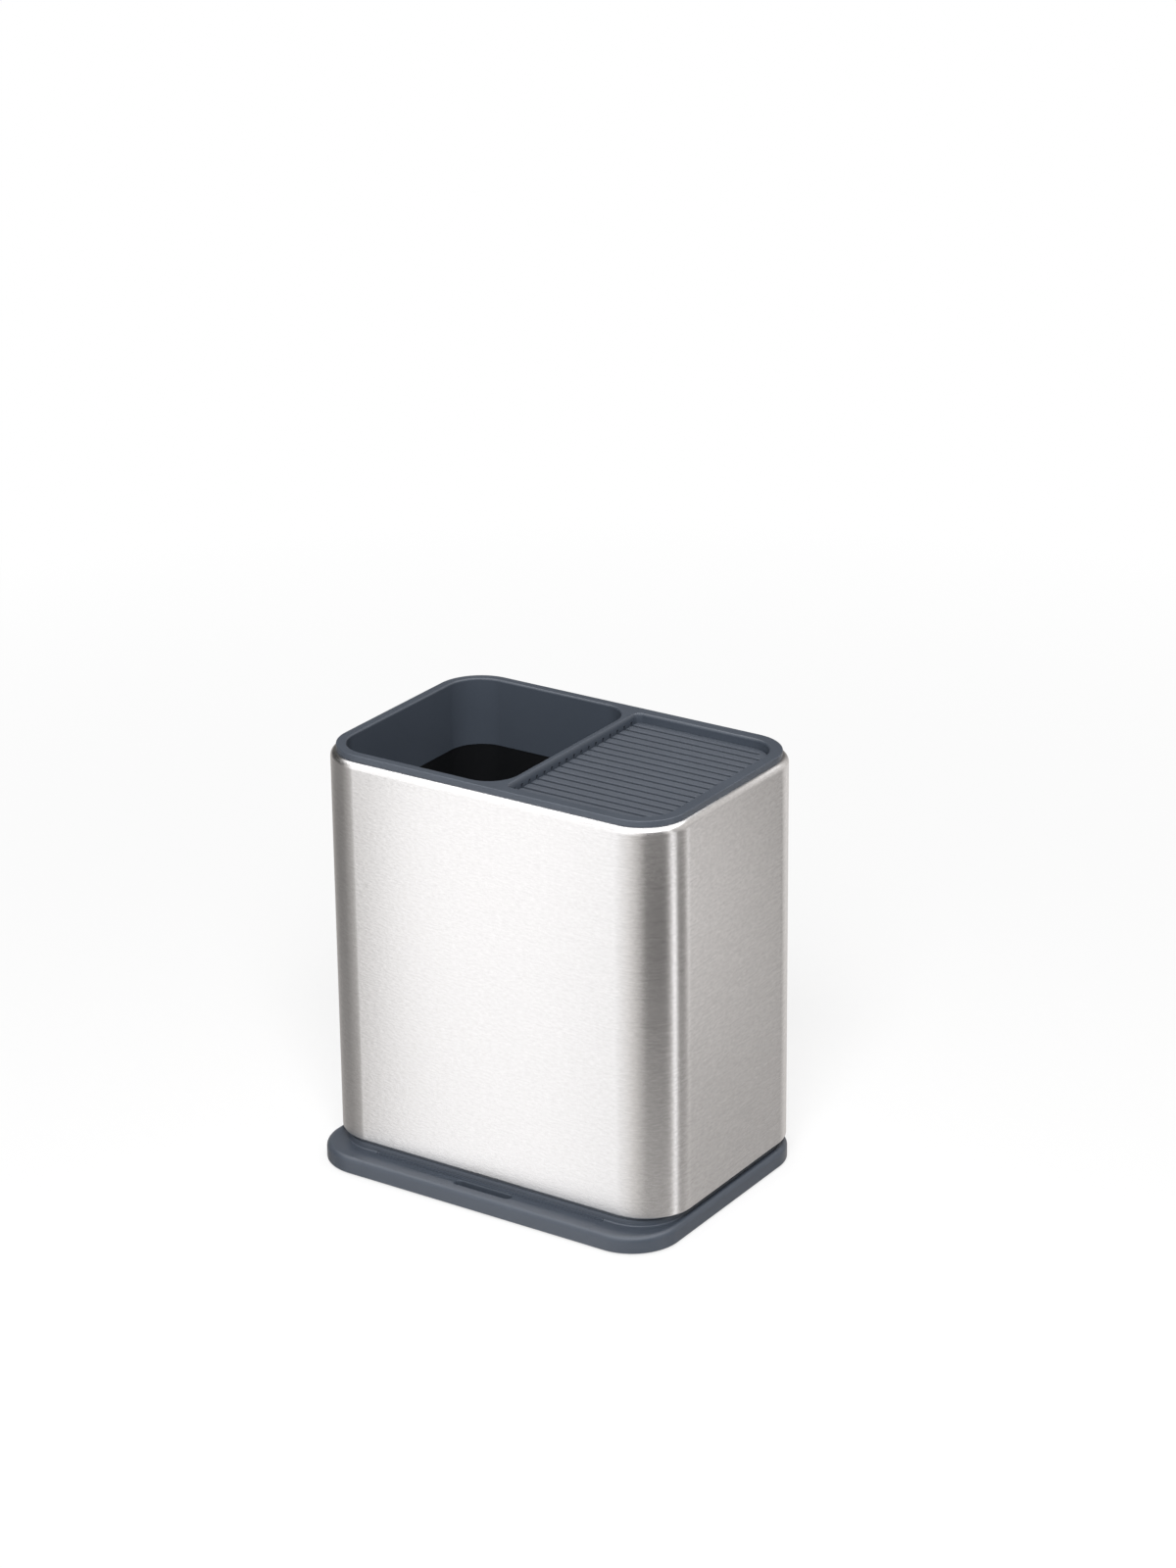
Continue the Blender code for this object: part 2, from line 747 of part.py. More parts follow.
make_steel_casing()
top_frame = make_top_frame()
utensil_liner = make_liner("utensil_liner", utensil_tub)
knife_liner = make_liner("knife_liner", knife_tub)
knife_grid = make_knife_grid()
make_inner_floor()
make_base_collar()
make_base_plinth()
drip_tray = make_drip_tray()
make_feet_and_screws()
carrier("insert_lift_axis", (0, casing_y, flange_z), [top_frame, utensil_liner, knife_liner])
carrier("knife_grid_lift_axis", (knife_tub.left, casing_y, grid_z), [knife_grid])
carrier("drip_tray_slide_axis", (0, front_y, tray_z), [drip_tray])
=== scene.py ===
"""Looks of the kitchen utensil holder: a brushed steel casing, slate plastic frame, grid,
base and drip tray, and black liners. Metres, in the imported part's frame: +Z up, the front
faces -Y."""

import math
from collections import namedtuple

import bmesh
import bpy
from mathutils import Matrix, Vector


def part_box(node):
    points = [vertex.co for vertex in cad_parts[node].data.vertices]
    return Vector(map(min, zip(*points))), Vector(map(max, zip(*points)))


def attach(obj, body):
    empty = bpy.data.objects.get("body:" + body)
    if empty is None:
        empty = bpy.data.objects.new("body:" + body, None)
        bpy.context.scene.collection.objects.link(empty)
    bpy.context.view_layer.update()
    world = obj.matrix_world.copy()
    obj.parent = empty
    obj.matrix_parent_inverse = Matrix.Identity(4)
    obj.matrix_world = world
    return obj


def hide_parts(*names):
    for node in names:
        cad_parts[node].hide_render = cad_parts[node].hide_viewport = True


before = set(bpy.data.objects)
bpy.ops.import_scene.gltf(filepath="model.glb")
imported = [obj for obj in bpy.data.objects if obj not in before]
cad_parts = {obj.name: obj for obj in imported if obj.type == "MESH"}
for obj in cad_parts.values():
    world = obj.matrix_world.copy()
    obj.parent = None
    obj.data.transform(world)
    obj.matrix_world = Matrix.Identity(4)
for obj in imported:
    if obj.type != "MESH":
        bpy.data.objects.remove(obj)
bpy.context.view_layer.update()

# General sizes
CLEARANCE = 0.0003
OVERRUN = 0.002
FINE_RADIUS = 0.00005

# Meshes: steps round corners and edges, and what counts as one point or one smooth face
CORNER_STEPS = 28
SMALL_CORNER_STEPS = 8
ROUND_STEPS = 6
CUT_MERGE = 0.000004
EDGE_MERGE = 0.0000001
EDGE_SEGMENTS = 2
EDGE_ANGLE = math.radians(50)
SMOOTH_ANGLE = math.radians(28)

# Steel casing
CASING_CORNER = 0.02325
SHEET = 0.0008
TOP_ROLL = 0.0030
TOP_LIP = 0.0045
BOTTOM_ROLL = 0.0009
BOTTOM_FLANGE = 0.0080
SEAM_WIDTH = 0.0007
SEAM_DEPTH = 0.00012

# Base plinth, collar and drip tray
PLINTH_CORNER = 0.0231
PLINTH_LIP = 0.0076
PLINTH_EDGE = 0.0005
SHOULDER = 0.0025
CHANNEL_DROP = 0.0005
CHANNEL_SETBACK = 0.0072
CHANNEL_SIDE = 0.0032
CHANNEL_SLOPE = 0.0009
PEDESTAL_COVE = 0.0009
PEDESTAL_SETBACK = 0.0123
PEDESTAL_SIDE = 0.0042
PEDESTAL_CORNER = 0.0205
COLLAR_LOWER = 0.00095
COLLAR_STEP = 0.0006
COLLAR_BAND = 0.0070
COLLAR_EDGE = 0.0003
COLLAR_DRAFT = 0.0005
PEDESTAL_EDGE = 0.0005
JOINT_GAP = 0.00005
TRAY_SEAM = 0.0003
SHOWN_SEAM = 0.00006
TRAY_WALL = 0.0016
TRAY_FLOOR = 0.0012
TRAY_RAIL = 0.0034
TRAY_FLANGE = 0.0015
TRAY_CORNER = 0.0030
TRAY_BACK_MARGIN = 0.0118
WELL_MARGIN = 0.0040
WELL_FRONT = 0.0090
NOTCH_HALF_LENGTH = 0.0146
NOTCH_FRONT = 0.0058
NOTCH_BACK = 0.0099
NOTCH_DEPTH = 0.0046
NOTCH_ROUND = 0.0013
NOTCH_FLOOR_ROUND = 0.0016
SEAM_ROUND = 0.00012

# Feet
FOOT_POCKET = 0.0015
FOOT_RADIUS = 0.0060
FOOT_EDGE = 0.0004
FOOT_DISH = 0.00035
FOOT_SIDES = 64
SCREW_RADIUS = 0.0015
SCREW_HEAD_RADIUS = 0.0028
COUNTERBORE = 0.0022

# Top frame
FLANGE_EDGE = 0.0005
SKIRT_WALL = 0.0024
SKIRT_DEPTH = 0.03155
MOUTH_ROUND = 0.0009
DIVIDER_ROUND = 0.0030
DIVIDER_LEAN = 0.0013
RECESS_ROUND = 0.0011
COMPARTMENT_CORNER = 0.0140
LAP_WALL = 0.0010
LAP_HEIGHT = 0.0080
RECESS_CORNER = 0.0030
LEDGE = 0.0025
SHELF = 0.0020

# Knife grid
SLOT_PITCH = 0.0057
SLOT_EDGE = 0.0035
SLOT_WIDTH = 0.0016
SLOT_ROUND = 0.0005
SLOT_END_MARGIN = 0.0026
SLOT_START = 0.0020
NOTCH_STEP = 0.0026
NOTCH_RISE = 0.0015
NOTCH_REACH = 0.0010
GRID_EDGE = 0.0004

# Liners
LINER_WALL = 0.0020
LINER_FLOOR = 0.0020
LINER_FOOT_ROUND = 0.0030
LINER_DRAIN_MARGIN = 0.0140
DRAIN_WIDTH = 0.0030
DRAIN_PITCH = 0.0120
DRAIN_RIB = 0.0120

# Photograph: 1200 x 1600 pixels, camera worked out from the casing's corners
CAMERA_PLACE = (0.97125, -1.42745, 0.87053)
CAMERA_AZIMUTH = math.radians(33.71)
CAMERA_ELEVATION = math.radians(21.83)
CAMERA_ROLL = math.radians(-0.64)
CAMERA_LENS = 98.81
SENSOR = 36.0

# Finishes: linear colours, noises by their stretch along each axis, and shares of a mix
Noise = namedtuple("Noise", "stretch scale detail")
Plastic = namedtuple("Plastic", "dark light roughness grain_height grain")

EVEN = (1, 1, 1)
WHITE = (1, 1, 1, 1)
NOISE_TURN = (0, 0, math.pi / 4)
NOISE_LOW = 0.3
NOISE_HIGH = 0.7

SLATE = Plastic(
    (0.057, 0.069, 0.089), (0.066, 0.079, 0.101), 0.36, 0.00002, Noise(EVEN, 1800, 2.0)
)
RIBBED = Plastic(
    (0.059, 0.069, 0.087), (0.068, 0.079, 0.098), 0.55, 0.00003, Noise(EVEN, 1500, 2.0)
)
BLACK = Plastic(
    (0.006, 0.0065, 0.0075), (0.009, 0.0095, 0.0105), 0.42, 0.00003, Noise(EVEN, 1500, 2.0)
)
RUBBER = Plastic(
    (0.016, 0.016, 0.017), (0.022, 0.022, 0.023), 0.8, 0.00005, Noise(EVEN, 2600, 2.0)
)
MOULD_CLOUDS = Noise(EVEN, 24.0, 3.0)
MOULD_GRAIN_SHARE = 0.35
MOULD_GRAIN_STRENGTH = 0.35
ROUGHNESS_SPREAD = 0.03

STEEL_DARK = (0.832, 0.827, 0.822)
STEEL_LIGHT = (0.928, 0.923, 0.918)
# Left and right sides: the steel's own grain, with a wider, darker swing that is a painted
# reflection
STEEL_SIDE_GRAIN_AND_REFLECTION_DARK = (0.805, 0.795, 0.795)
STEEL_SIDE_GRAIN_AND_REFLECTION_LIGHT = (0.955, 0.945, 0.945)
HAIRLINES = Noise((60, 60, 2400), 1.0, 2.0)
FLECKS = Noise((420, 420, 1150), 1.0, 1.0)
FLECK_SHARE = 0.62
STEEL_CLOUDS = Noise(EVEN, 11.0, 2.0)
STEEL_SMOOTHEST = 0.245
STEEL_ROUGHEST = 0.27
STEEL_CLOUD_SPREAD = 0.006
STEEL_ANISOTROPY = 0.9
STEEL_ANISOTROPY_TURN = 0.25
STEEL_GRAIN_STRENGTH = 0.4
STEEL_GRAIN_HEIGHT = 0.0001

SCREW_DARK = (0.4, 0.4, 0.39)
SCREW_LIGHT = (0.56, 0.55, 0.53)
SCREW_RINGS = Noise((1, 1, 6), 900.0, 2.0)
SCREW_SMOOTHEST = 0.25
SCREW_ROUGHEST = 0.4

# Stage: floor, shadow, round wall, sky and lamp
WORLD_LEVEL = 0.43
FLOOR_HALF = 6.0
SHADOW_SHARE = 0.3
SHADOW_NEAR = 0.2
SHADOW_FAR = 0.9
WALL_RADIUS = 0.35
WALL_LOW = -0.45
WALL_TOP = 0.10
WALL_SIDES = 180
BAND_LOW = -0.09
BAND_HIGH = 0.06
SKY_START = -0.2
SKY_END = 0.1
OVERHEAD_START = 0.64
OVERHEAD_END = 0.80
OVERHEAD_LEVEL = 3.0
KEY_PLACE = (0.72, -1.16, 1.45)
KEY_AIM = (0, 0, 0.1)
KEY_SIZE = 0.9
KEY_POWER = 33

# What shiny surfaces reflect at each bearing, in degrees from the front towards the right
# side: strength high on the wall, low on the wall, and in the sky above it
SURROUNDINGS = (
    (-180, 0.66, 0.60, 0.50),
    (-165, 0.72, 0.60, 0.16),
    (-150, 0.80, 0.62, 0.12),
    (-127, 0.80, 0.60, 0.10),
    (-121, 0.74, 0.58, 0.08),
    (-113, 0.48, 0.50, 0.06),
    (-103, 0.33, 0.38, 0.06),
    (-90, 0.23, 0.30, 0.06),
    (-77, 0.20, 0.27, 0.06),
    (-64, 0.22, 0.27, 0.10),
    (-54, 0.32, 0.32, 0.40),
    (-46, 0.38, 0.36, 0.80),
    (-42, 0.44, 0.40, 1.00),
    (-40, 0.50, 0.48, 1.10),
    (-38.5, 0.84, 0.76, 1.20),
    (-37, 1.27, 1.10, 1.25),
    (-35, 1.30, 1.17, 1.25),
    (-32, 1.21, 1.14, 1.25),
    (-22, 1.13, 1.10, 1.25),
    (-18, 0.98, 0.96, 1.25),
    (-7, 0.88, 0.87, 1.20),
    (4, 0.76, 0.80, 1.10),
    (15, 0.60, 0.68, 0.90),
    (25, 0.43, 0.57, 0.60),
    (34, 0.25, 0.48, 0.35),
    (42, 0.05, 0.43, 0.10),
    (72, 0.04, 0.40, 0.10),
    (80, 0.20, 0.42, 0.40),
    (86, 0.96, 0.74, 0.80),
    (89, 1.50, 1.12, 1.00),
    (92, 1.20, 0.86, 0.80),
    (96, 0.22, 0.36, 0.40),
    (104, 0.12, 0.38, 0.40),
    (110, 0.16, 0.42, 0.45),
    (116, 0.44, 0.46, 0.55),
    (119.5, 0.72, 0.47, 0.60),
    (122.5, 1.04, 0.53, 0.60),
    (125.5, 0.84, 0.46, 0.60),
    (134, 0.63, 0.38, 0.60),
    (138, 0.42, 0.33, 0.60),
    (141, 0.18, 0.30, 0.60),
    (147, 0.50, 0.46, 0.60),
    (160, 0.70, 0.60, 0.70),
    (180, 0.66, 0.60, 0.50),
)
HIGH_COLUMN, LOW_COLUMN, SKY_COLUMN = 1, 2, 3
STRENGTH_TOP = 1.5
WARM = (1.035, 0.997, 0.968)
NEUTRAL = (1.005, 0.995, 1.0)
WARM_STRENGTH = 0.6
NEUTRAL_STRENGTH = 0.95

Outline = namedtuple("Outline", "left right front back left_radius right_radius")


def inset(outline, distance):
    """The same outline moved inwards, or outwards for a negative distance."""
    return Outline(
        outline.left + distance,
        outline.right - distance,
        outline.front + distance,
        outline.back - distance,
        max(outline.left_radius - distance, FINE_RADIUS),
        max(outline.right_radius - distance, FINE_RADIUS),
    )


def outline_of(node, radius):
    """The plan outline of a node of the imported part."""
    low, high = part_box(node)
    return Outline(low.x, high.x, low.y, high.y, radius, radius)


def plan_centre(node):
    """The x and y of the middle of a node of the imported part."""
    low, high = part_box(node)
    return (low.x + high.x) / 2, (low.y + high.y) / 2


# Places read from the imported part
casing_low, casing_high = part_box("steel_casing")
plinth_low, plinth_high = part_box("base_plinth")
collar_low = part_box("base_collar")[0]
frame_low, frame_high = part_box("top_frame")
grid_low, grid_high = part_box("knife_grid")
tray_low, tray_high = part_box("drip_tray")
utensil_low, utensil_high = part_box("utensil_liner")
knife_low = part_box("knife_liner")[0]
casing_middle_y = (casing_low.y + casing_high.y) / 2

casing_outline = outline_of("steel_casing", CASING_CORNER)
flange_outline = outline_of("top_frame", CASING_CORNER - (frame_low.x - casing_low.x))
frame_outline = inset(casing_outline, TOP_LIP + CLEARANCE)
utensil_tub = frame_outline._replace(
    right=utensil_high.x, right_radius=COMPARTMENT_CORNER + SKIRT_WALL
)
knife_tub = frame_outline._replace(left=knife_low.x, left_radius=RECESS_CORNER + SKIRT_WALL)
grid_outline = Outline(
    grid_low.x,
    grid_high.x,
    grid_low.y,
    grid_high.y,
    RECESS_CORNER - CLEARANCE,
    frame_outline.right_radius - (frame_outline.right - grid_high.x),
)
recess_outline = inset(grid_outline, -2 * SHOWN_SEAM)
plinth_outline = outline_of("base_plinth", PLINTH_CORNER)
channel_outline = Outline(
    plinth_low.x + CHANNEL_SIDE,
    plinth_high.x - CHANNEL_SIDE,
    plinth_low.y + CHANNEL_SETBACK,
    plinth_high.y - CHANNEL_SIDE,
    PEDESTAL_CORNER,
    PEDESTAL_CORNER,
)
pedestal_outline = Outline(
    plinth_low.x + PEDESTAL_SIDE,
    plinth_high.x - PEDESTAL_SIDE,
    plinth_low.y + PEDESTAL_SETBACK,
    plinth_high.y - PEDESTAL_SIDE,
    PEDESTAL_CORNER,
    PEDESTAL_CORNER,
)

rim_z = frame_high.z
flange_z = casing_high.z + JOINT_GAP
skirt_z = rim_z - SKIRT_DEPTH
shelf_z = grid_low.z - CLEARANCE
lip_z = plinth_low.z + PLINTH_LIP
channel_z = lip_z - CHANNEL_DROP
tray_half = tray_high.x
bay_half = tray_half + TRAY_SEAM
mouth_half = tray_half + SHOWN_SEAM
rail_half = bay_half - TRAY_RAIL
rail_z = tray_high.z - TRAY_FLANGE - CLEARANCE
bay_back_y = plinth_high.y - TRAY_BACK_MARGIN
tray_joint_y = pedestal_outline.front - SHOWN_SEAM / 4
well_half = bay_half - WELL_MARGIN
well_front_y = pedestal_outline.front + WELL_FRONT
well_back_y = bay_back_y - WELL_MARGIN
foot_nodes = ("foot_front_left", "foot_front_right", "foot_back_left", "foot_back_right")

pieces = bpy.data.collections.new("utensil_holder")
cutters = bpy.data.collections.new("cutters")
bpy.context.scene.collection.children.link(pieces)
bpy.context.scene.collection.children.link(cutters)


# Geometry


def corner_points(outline):
    """The outline's points, anticlockwise, as four corner arcs."""
    points = []
    corners = (
        (outline.right, outline.back, outline.right_radius, 0),
        (outline.left, outline.back, outline.left_radius, 1),
        (outline.left, outline.front, outline.left_radius, 2),
        (outline.right, outline.front, outline.right_radius, 3),
    )
    for x, y, radius, quarter in corners:
        centre_x = x - math.copysign(radius, x - (outline.left + outline.right) / 2)
        centre_y = y - math.copysign(radius, y - (outline.front + outline.back) / 2)
        for step in range(outline_steps(outline) + 1):
            angle = math.pi / 2 * (quarter + step / outline_steps(outline))
            points.append(
                (centre_x + radius * math.cos(angle), centre_y + radius * math.sin(angle))
            )
    return points


def outline_steps(outline):
    """Fewer steps round the corners of slots and notches than round those of the body."""
    narrow = outline.back - outline.front < 2 * CASING_CORNER
    return SMALL_CORNER_STEPS if narrow else CORNER_STEPS


def add_loft(shape, levels, closed=False):
    """Adds a surface through outlines, which run up the outer side and down the inner."""
    loops = []
    for outline, z in levels:
        loops.append([shape.verts.new((x, y, z)) for x, y in corner_points(outline)])
    pairs = list(zip(loops, loops[1:]))
    if closed:
        pairs.append((loops[-1], loops[0]))
    else:
        shape.faces.new(reversed(loops[0]))
        shape.faces.new(loops[-1])
    for lower, upper in pairs:
        for i in range(len(lower)):
            shape.faces.new((lower[i - 1], lower[i], upper[i], upper[i - 1]))


def to_mesh(name, shape):
    """Turns a bmesh into a mesh."""
    mesh = bpy.data.meshes.new(name)
    shape.to_mesh(mesh)
    shape.free()
    return mesh


def loft(name, levels, closed=False):
    """A mesh of one loft."""
    shape = bmesh.new()
    add_loft(shape, levels, closed)
    return to_mesh(name, shape)


def lofts(name, shapes):
    """A mesh of several separate lofts."""
    shape = bmesh.new()
    for levels in shapes:
        add_loft(shape, levels)
    return to_mesh(name, shape)


def blocks(name, spans):
    """A mesh of separate boxes, each given by its low and high corners."""
    shape = bmesh.new()
    for low, high in spans:
        centre = (Vector(low) + Vector(high)) / 2
        size = Vector(high) - Vector(low)
        place = Matrix.Translation(centre) @ Matrix.Diagonal((*size, 1))
        bmesh.ops.create_cube(shape, size=1, matrix=place)
    return to_mesh(name, shape)


def discs(name, radius, low, high, places):
    """A mesh of separate upright cylinders, used as cutters."""
    shape = bmesh.new()
    for x, y in places:
        bmesh.ops.create_cone(
            shape,
            cap_ends=True,
            segments=FOOT_SIDES,
            radius1=radius,
            radius2=radius,
            depth=high - low,
            matrix=Matrix.Translation((x, y, (low + high) / 2)),
        )
    return to_mesh(name, shape)


def turned(name, profile, place):
    """A turned mesh from a radius and height profile that runs up its outer side."""
    shape = bmesh.new()
    rings = []
    for radius, height in profile:
        ring = []
        for side in range(FOOT_SIDES):
            angle = 2 * math.pi * side / FOOT_SIDES
            x = place[0] + radius * math.cos(angle)
            y = place[1] + radius * math.sin(angle)
            ring.append(shape.verts.new((x, y, height)))
        rings.append(ring)
    shape.faces.new(reversed(rings[0]))
    shape.faces.new(rings[-1])
    for lower, upper in zip(rings, rings[1:]):
        for i in range(FOOT_SIDES):
            shape.faces.new((lower[i - 1], lower[i], upper[i], upper[i - 1]))
    return to_mesh(name, shape)


def quarter_angles(steps=ROUND_STEPS):
    """The angles of a quarter round, in even steps."""
    return [math.pi / 2 * step / steps for step in range(steps + 1)]


def arc_levels(outline, z, radius, rising=True):
    """Levels of a quarter round from a vertical wall to a flat top, or the reverse."""
    levels = []
    for angle in quarter_angles():
        reach = radius * (1 - math.cos(angle))
        rise = radius * math.sin(angle)
        levels.append((inset(outline, reach), z + rise - radius))
    return levels if rising else [(o, 2 * z - level) for o, level in reversed(levels)]


def cove_levels(outline, z, radius):
    """Levels of a hollow quarter round from a flat, outside the outline, up to its wall."""
    levels = []
    for angle in quarter_angles():
        reach = radius * (1 - math.sin(angle))
        levels.append((inset(outline, -reach), z + radius * (1 - math.cos(angle))))
    return levels


def mouth_levels(outline, low, top, radius):
    """Levels of a cutter whose mouth widens in a quarter round at the top."""
    levels = [(outline, low)]
    for angle in quarter_angles():
        reach = radius * (1 - math.cos(angle))
        levels.append((inset(outline, -reach), top - radius + radius * math.sin(angle)))
    levels.append((inset(outline, -radius), top + OVERRUN))
    return levels


def right_reach(outline, y):
    """The x of the outline's right side at y, which draws in round the corners."""
    radius = outline.right_radius
    middle = (outline.front + outline.back) / 2
    past = abs(y - middle) - (outline.back - outline.front) / 2 + radius
    if past <= 0:
        return outline.right
    return outline.right - radius + math.sqrt(max(radius**2 - past**2, 0))


# Pieces


def add_piece(name, mesh, material, body, nodes):
    """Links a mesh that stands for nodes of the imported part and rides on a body."""
    mesh.materials.append(material)
    piece = bpy.data.objects.new(name, mesh)
    pieces.objects.link(piece)
    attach(piece, body)
    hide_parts(*nodes)
    return piece


def combine(piece, name, mesh, operation="DIFFERENCE"):
    """A Boolean of the piece with a helper mesh."""
    helper = bpy.data.objects.new(name, mesh)
    helper.hide_render = True
    helper.display_type = "WIRE"
    cutters.objects.link(helper)
    modifier = piece.modifiers.new(name, "BOOLEAN")
    modifier.solver = "EXACT"
    modifier.operation = operation
    modifier.object = helper


def settle(piece, edge=0.0):
    """Applies the Booleans, merges the points they double, breaks the sharp edges, and
    shades the rounds smooth."""
    bpy.context.view_layer.update()
    graph = bpy.context.evaluated_depsgraph_get()
    mesh = bpy.data.meshes.new_from_object(piece.evaluated_get(graph), depsgraph=graph)
    piece.modifiers.clear()
    piece.data = mesh
    shape = bmesh.new()
    shape.from_mesh(mesh)
    bmesh.ops.remove_doubles(shape, verts=shape.verts, dist=CUT_MERGE)
    bmesh.ops.dissolve_degenerate(shape, dist=CUT_MERGE, edges=shape.edges)
    shape.to_mesh(mesh)
    shape.free()
    if edge:
        bevel = piece.modifiers.new("edge", "BEVEL")
        bevel.width = edge
        bevel.segments = EDGE_SEGMENTS
        bevel.limit_method = "ANGLE"
        bevel.angle_limit = EDGE_ANGLE
        bevel.use_clamp_overlap = True
        weld = piece.modifiers.new("weld", "WELD")
        weld.merge_threshold = EDGE_MERGE
    mesh.shade_smooth()
    mesh.set_sharp_from_angle(angle=SMOOTH_ANGLE)
    weighted = piece.modifiers.new("weighted", "WEIGHTED_NORMAL")
    weighted.keep_sharp = True


def make_casing():
    """One sheet with its top edge rolled in to a lip, and a ground seam down its back."""
    outer = arc_levels(casing_outline, casing_low.z, BOTTOM_ROLL, rising=False)
    outer += arc_levels(casing_outline, casing_high.z, TOP_ROLL)
    wall = inset(casing_outline, SHEET)
    inner = arc_levels(wall, casing_low.z + SHEET, BOTTOM_ROLL - SHEET, rising=False)
    inner += arc_levels(wall, casing_high.z - SHEET, TOP_ROLL - SHEET)
    lip = inset(casing_outline, TOP_LIP)
    flange = inset(casing_outline, BOTTOM_FLANGE)
    levels = [(flange, casing_low.z)] + outer
    levels += [(lip, casing_high.z), (lip, casing_high.z - SHEET)]
    levels += list(reversed(inner)) + [(flange, casing_low.z + SHEET)]
    casing = add_piece(
        "casing_shell",
        loft("casing_shell", levels, closed=True),
        brushed_steel,
        "casing",
        ["steel_casing"],
    )
    half = SEAM_WIDTH / 2
    back = casing_high.y
    groove = (
        (-half, back - SEAM_DEPTH, casing_low.z + BOTTOM_ROLL),
        (half, back + OVERRUN, casing_high.z - TOP_ROLL),
    )
    combine(casing, "seam_cutter", blocks("seam_cutter", [groove]))
    settle(casing)


def recess_levels():
    """The grid's recess, whose left wall rounds over slowly to the crown of the divider."""
    levels = [(recess_outline, shelf_z), (recess_outline, rim_z - DIVIDER_ROUND)]
    for angle in quarter_angles(2 * ROUND_STEPS)[1:]:
        z = rim_z - DIVIDER_ROUND * (1 - math.sin(angle))
        past = max(z - rim_z + RECESS_ROUND, 0)
        reach = RECESS_ROUND - math.sqrt(max(RECESS_ROUND**2 - past**2, 0))
        left = recess_outline.left - DIVIDER_LEAN * (1 - math.cos(angle))
        levels.append((inset(recess_outline, -reach)._replace(left=left), z))
    levels.append((levels[-1][0], rim_z + OVERRUN))
    return levels


def make_rim():
    """The rim with its skirt, the divider and the recess for the grid."""
    levels = [(frame_outline, skirt_z), (frame_outline, flange_z)]
    rolled = TOP_ROLL - (flange_outline.left - casing_outline.left)
    for step in range(ROUND_STEPS + 1):
        past = rolled * step / ROUND_STEPS
        drop = TOP_ROLL - math.sqrt(TOP_ROLL**2 - past**2)
        levels.append((inset(flange_outline, rolled - past), flange_z - drop))
    levels += arc_levels(flange_outline, rim_z, FLANGE_EDGE)
    rim = add_piece(
        "rim_frame",
        loft("rim_frame", levels),
        slate_plastic,
        "insert",
        ["top_frame"],
    )
    compartment = inset(utensil_tub, SKIRT_WALL)
    chamber = inset(knife_tub, SKIRT_WALL)
    opening = inset(recess_outline, LEDGE)
    shapes = {
        "compartment_cutter": mouth_levels(
            compartment, skirt_z - OVERRUN, rim_z, MOUTH_ROUND
        ),
        "recess_cutter": recess_levels(),
        "opening_cutter": [
            (opening, shelf_z - SHELF - OVERRUN),
            (opening, shelf_z + OVERRUN),
        ],
        "chamber_cutter": [(chamber, skirt_z - OVERRUN), (chamber, shelf_z - SHELF)],
    }
    for name, shape in shapes.items():
        combine(rim, name, loft(name, shape))
    left = recess_outline.left
    notches = [
        (
            (left - NOTCH_REACH, y - SLOT_WIDTH / 2, grid_high.z - NOTCH_STEP),
            (left + NOTCH_REACH, y + SLOT_WIDTH / 2, grid_high.z + NOTCH_RISE),
        )
        for y in slot_places()
    ]
    combine(rim, "wall_notch_cutter", blocks("wall_notch_cutter", notches))
    for name, tub in (("utensil_lap_cutter", utensil_tub), ("knife_lap_cutter", knife_tub)):
        outside = inset(tub, -CLEARANCE)
        inside = inset(tub, LAP_WALL + CLEARANCE)
        low = skirt_z - OVERRUN
        high = skirt_z + LAP_HEIGHT + CLEARANCE
        shape = [(outside, low), (outside, high), (inside, high), (inside, low)]
        combine(rim, name, loft(name, shape, closed=True))
    settle(rim)


def make_liner(name, node, tub, low_z):
    """A tub whose thinned top edge laps round the skirt, with drain slots in its floor."""
    levels = arc_levels(tub, low_z, LINER_FOOT_ROUND, rising=False)
    inside = inset(tub, LINER_WALL)
    floor_z = low_z + LINER_FLOOR
    levels += [
        (tub, skirt_z + LAP_HEIGHT),
        (inset(tub, LAP_WALL), skirt_z + LAP_HEIGHT),
        (inset(tub, LAP_WALL), skirt_z - CLEARANCE),
        (inside, skirt_z - CLEARANCE),
    ]
    inner_round = LINER_FOOT_ROUND - LINER_WALL / 2
    levels += list(reversed(arc_levels(inside, floor_z, inner_round, rising=False)))
    liner = add_piece(
        name, loft(name, levels), black_plastic, "insert", [node]
    )
    area = inset(tub, LINER_DRAIN_MARGIN)
    count = int((area.right - area.left - DRAIN_WIDTH) / DRAIN_PITCH) + 1
    start = (area.left + area.right - DRAIN_PITCH * (count - 1)) / 2
    middle = (area.front + area.back) / 2
    end_radius = DRAIN_WIDTH / 2 - FINE_RADIUS
    drains = []
    for column in range(count):
        x = start + DRAIN_PITCH * column
        for front, back in (
            (area.front, middle - DRAIN_RIB / 2),
            (middle + DRAIN_RIB / 2, area.back),
        ):
            slot = Outline(
                x - DRAIN_WIDTH / 2,
                x + DRAIN_WIDTH / 2,
                front,
                back,
                end_radius,
                end_radius,
            )
            drains.append([(slot, low_z - OVERRUN), (slot, floor_z + OVERRUN)])
    combine(liner, name + "_drain_cutter", lofts(name + "_drain_cutter", drains))
    settle(liner)


def slot_places():
    """How far back each slot of the grid lies."""
    middle = (grid_outline.front + grid_outline.back) / 2
    free_depth = grid_outline.back - grid_outline.front - 2 * SLOT_EDGE - SLOT_WIDTH
    count = int(free_depth / SLOT_PITCH) + 1
    return [middle + SLOT_PITCH * (i - (count - 1) / 2) for i in range(count)]


